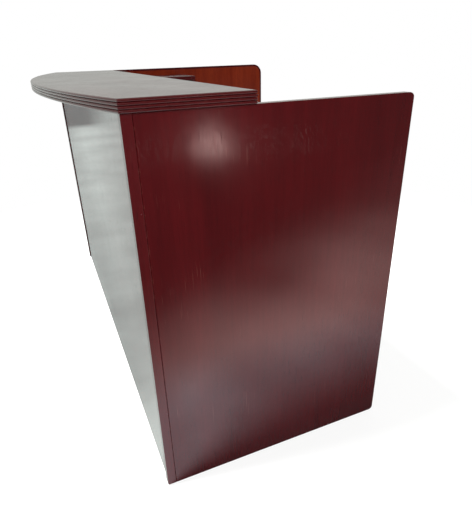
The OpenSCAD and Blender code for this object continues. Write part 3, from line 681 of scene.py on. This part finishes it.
# Painted light and shade on the floor that the desk mirrors, as factors that change along a
# direction on the floor: direction, start and end in metres, and the factors there
ALONG_X = (1, 0, 0)
FLOOR_RAMPS = (
    # Painted shade behind the camera
    ((0.833, -0.553, 0), 1.25, 1.80, 1.0, 0.008),
    (ALONG_X, 1.80, 2.75, 1.0, 0.15),
    # Painted shade in front of the desk, dimmer than beside the end panel
    (ALONG_X, 0.90, 0.93, 0.71, 1.0),
    (ALONG_X, -3.0, 0.0, 1.04, 1.0),
    # Dimmer close to the front panel's foot, where its own shade lies
    ((-0.06, 1, 0), -0.645, -0.540, 1.0, 0.62),
    ((0, 1, 0), -0.56, -0.38, 0.72, 1.0),
    # Painted shade close to the end panel's foot
    (ALONG_X, 0.93, 1.15, 0.74, 1.0),
    # Painted shade towards the rear of the end panel
    ((-0.75, 0.66, 0), -0.88, -0.60, 1.0, 0.66),
)
# Painted shade: the far dark part that shows in the front panel under the counter, where it sets
# in along X and across, in metres, and the light that is left in it
FAR_SPAN = (-7.2, -6.6)
FAR_ACROSS = (-0.13, 1, 0)
FAR_ACROSS_SPAN = (-0.72, -0.32)
FAR_LIGHT = 0.02
# Round patches of painted light and shade on the mirrored floor: place, inner and outer radius
# in metres, and the factors there
FLOOR_POOLS = (
    # Painted pool of light beside the end panel
    ((1.56, 0.26, 0), 0.05, 0.60, 1.0, 0.76),
    # Painted dim spots, which break up the band that the end panel mirrors
    ((1.92, 0.34, 0), 0.10, 0.45, 0.35, 1.0),
    ((1.18, -0.08, 0), 0.05, 0.28, 0.74, 1.0),
    # Painted light spot near the post
    ((1.28, -0.31, 0), 0.05, 0.20, 1.25, 1.0),
)
# Share of the floor's light that falls softly on the desk
BOUNCE = 0.60
# Painted tints of the floor's reflection in front of the desk, beside the end panel and further
# out, and where one turns into the next along X, in metres
FRONT_TONE = (0.76, 0.84, 0.80)
NEAR_SPAN = (0.90, 0.93)
NEAR_TONE = (0.76, 0.79, 0.86)
WARM_SPAN = (1.22, 1.50)
WARM_TONE = (1.0, 0.66, 0.63)


def mirrored_floor(look, soft_ray):
    """The floor's colour as the desk mirrors it, with painted light and shade, and less light on
    soft rays.
    """
    def ramp(direction, *limits):
        return look.remap(look.vector_math("DOT_PRODUCT", look.coords, direction), *limits)

    # Painted uneven light on the floor
    clouds = look.noise(look.coords, CLOUD_SCALE, detail=3)
    specks = look.noise(look.coords, SPECK_SCALE, detail=6, roughness=0.65)
    lit = look.times(look.remap(clouds, *NARROW_SPAN, CLOUD_DIM, 1),
                     look.remap(specks, *WIDE_SPAN, SPECK_DIM, 1))
    # Painted shade and light along directions on the floor
    for direction, *limits in FLOOR_RAMPS:
        lit = look.times(lit, ramp(direction, *limits))
    # Painted shade: the far dark part
    far = look.times(ramp(ALONG_X, *FAR_SPAN, 1, 0), ramp(FAR_ACROSS, *FAR_ACROSS_SPAN))
    lit = look.times(lit, look.remap(far, 0, 1, 1, FAR_LIGHT))
    # Painted pools of light and shade
    for place, *limits in FLOOR_POOLS:
        away = look.vector_math("DISTANCE", look.coords, place)
        lit = look.times(lit, look.remap(away, *limits))
    # Painted tints of the floor's reflection
    tone = look.mix(ramp(ALONG_X, *NEAR_SPAN), FRONT_TONE, NEAR_TONE)
    tone = look.mix(ramp(ALONG_X, *WARM_SPAN), tone, WARM_TONE)
    lit = look.times(lit, look.remap(soft_ray, 0, 1, 1, BOUNCE))
    return look.mix(lit, (0, 0, 0), tone)


def floor_finish():
    """Pale with a white glow for the camera, painted light that lightens the desk's shadow, and
    painted light and shade for what the desk mirrors.
    """
    look = Shading("pale_floor")
    rays = look.node("ShaderNodeLightPath").outputs
    mirrored = mirrored_floor(look, rays["Is Diffuse Ray"])
    seen = rays["Is Camera Ray"]
    look.shade(Base_Color=look.mix(seen, mirrored, FLOOR_TONE), Roughness=FLOOR_ROUGHNESS)
    distance = look.vector_math("LENGTH", look.coords)
    share = look.times(look.remap(distance, *WHITE_SPAN, WHITE_NEAR, 1), seen)
    # Painted light: a white glow that lightens the floor's shadow near the desk
    white_glow = look.node("ShaderNodeEmission", {"Strength": 1.0}).outputs[0]
    both = look.node("ShaderNodeMixShader", {0: share, 1: look.shader.outputs[0], 2: white_glow})
    feed(look.tree, look.tree.nodes["Material Output"].inputs["Surface"], both.outputs[0])
    return look.material


def make_floor():
    """A large plain floor under the desk."""
    mesh = bpy.data.meshes.new("floor")
    grid = bmesh.new()
    bmesh.ops.create_grid(grid, x_segments=FLOOR_CELLS, y_segments=FLOOR_CELLS,
                          size=FLOOR_SIDE / 2)
    grid.to_mesh(mesh)
    grid.free()
    floor = bpy.data.objects.new("floor", mesh)
    scene.collection.objects.link(floor)
    mesh.materials.append(floor_finish())
    return floor


# Studio world: the strength of its low light on the pale and the dark side, and of the light above
WORLD_PALE = 0.67
WORLD_DARK = 0.01
WORLD_ABOVE = 0.36
WORLD_TONE = (0.965, 1.0, 0.95)
# Where the low light turns from dark to pale, as parts along a direction, and where the light
# above grows, as parts along Z
PALE_SIDE = (-0.86, 0.50, 0)
PALE_SPAN = (-0.2, 0.5)
ABOVE_SPAN = (0.35, 0.90)


def make_world():
    """A white backdrop for the camera, and soft light that is dark behind the camera."""
    world = bpy.data.worlds.new("studio")
    world.use_nodes = True
    tree = world.node_tree

    def grow(value, span, low, high):
        made = add_node(tree, "ShaderNodeMapRange", enumerate((value, *span, low, high)))
        return made.outputs[0]

    direction = add_node(tree, "ShaderNodeTexCoord").outputs["Generated"]
    facing = add_node(tree, "ShaderNodeVectorMath", {0: direction, 1: PALE_SIDE},
                      operation="DOT_PRODUCT").outputs["Value"]
    low_light = grow(facing, PALE_SPAN, WORLD_DARK, WORLD_PALE)
    height = add_node(tree, "ShaderNodeSeparateXYZ", {0: direction}).outputs["Z"]
    light_above = grow(height, ABOVE_SPAN, 0, WORLD_ABOVE)
    strength = add_node(tree, "ShaderNodeMath", {0: low_light, 1: light_above},
                        operation="ADD").outputs[0]
    light = add_node(tree, "ShaderNodeBackground", {
        "Color": (*WORLD_TONE, 1), "Strength": strength}).outputs[0]
    backdrop = add_node(tree, "ShaderNodeBackground", {"Color": (1, 1, 1, 1)}).outputs[0]
    seen = add_node(tree, "ShaderNodeLightPath").outputs["Is Camera Ray"]
    both = add_node(tree, "ShaderNodeMixShader", {0: seen, 1: light, 2: backdrop}).outputs[0]
    feed(tree, tree.nodes["World Output"].inputs["Surface"], both)
    scene.world = world


# Soft lights: place, the point that they face, width and depth in metres, and power in watts
KEY = ((2.35, -1.05, 1.95), (0.9, -0.25, 0.7), (1.4, 1.1), 46)
FILL = ((0.6, 3.8, 2.6), (0.0, 0.0, 0.6), (2.4, 1.8), 90)
# The blurred highlight that the end panel mirrors, wide below and narrow above: height, width,
# depth and power of each spot, then the place, the point on the panel and the tone that they share
SPOTS = ((0.29, 0.32, 0.09, 1.45), (0.38, 0.20, 0.12, 0.95), (0.50, 0.10, 0.12, 0.18))
SPOT_PLACE = (4.16, 0.85)
SPOT_TARGET = (0.9145, -0.342, 0.97)
SPOT_TONE = (1, 0.66, 0.62)
# The floor's own light comes from the front left, and throws the desk's shadow back to the right
SUN_DIRECTION = (0.30, 0.70, -1.06)
SUN_STRENGTH = 19.0
SUN_ANGLE = 20
# A weaker light without shadow, for the floor inside the desk's shadow
SHADE_STRENGTH = 2.5


def add_lamp(name, data, direction, floor, state):
    """Adds a lamp that shines along a direction, on the floor alone (INCLUDE) or on all but the
    floor (EXCLUDE)."""
    lamp = bpy.data.objects.new(name, data)
    scene.collection.objects.link(lamp)
    lamp.rotation_mode = "QUATERNION"
    lamp.rotation_quaternion = Vector(direction).to_track_quat("-Z", "Y")
    receivers = bpy.data.collections.new(lamp.name + "_receivers")
    receivers.objects.link(floor)
    receivers.collection_objects[0].light_linking.link_state = state
    lamp.light_linking.receiver_collection = receivers
    return lamp


def floor_sun(name, floor, strength, shadow):
    """A broad sun for the floor alone."""
    data = bpy.data.lights.new(name, "SUN")
    data.energy = strength
    data.angle = math.radians(SUN_ANGLE)
    data.use_shadow = shadow
    add_lamp(name, data, SUN_DIRECTION, floor, "INCLUDE")


def soft_light(name, floor, place, target, size, power, tone=(1, 1, 1)):
    """A rectangular soft light for the desk, which the camera doesn't see."""
    data = bpy.data.lights.new(name, "AREA")
    data.shape = "RECTANGLE"
    data.size, data.size_y = size
    data.energy = power
    data.color = tone
    lamp = add_lamp(name, data, Vector(target) - Vector(place), floor, "EXCLUDE")
    lamp.location = place
    lamp.visible_camera = False


def make_lights(floor):
    """The suns of the floor, and the soft lights and the highlight of the desk."""
    floor_sun("floor_sun", floor, SUN_STRENGTH, shadow=True)
    floor_sun("floor_shade_light", floor, SHADE_STRENGTH, shadow=False)
    soft_light("key", floor, *KEY)
    soft_light("fill", floor, *FILL)
    for height, *size, power in SPOTS:
        soft_light("spot", floor, (*SPOT_PLACE, height), SPOT_TARGET, size, power, SPOT_TONE)


floor = make_floor()
make_world()
make_lights(floor)

scene.view_settings.view_transform = "Standard"
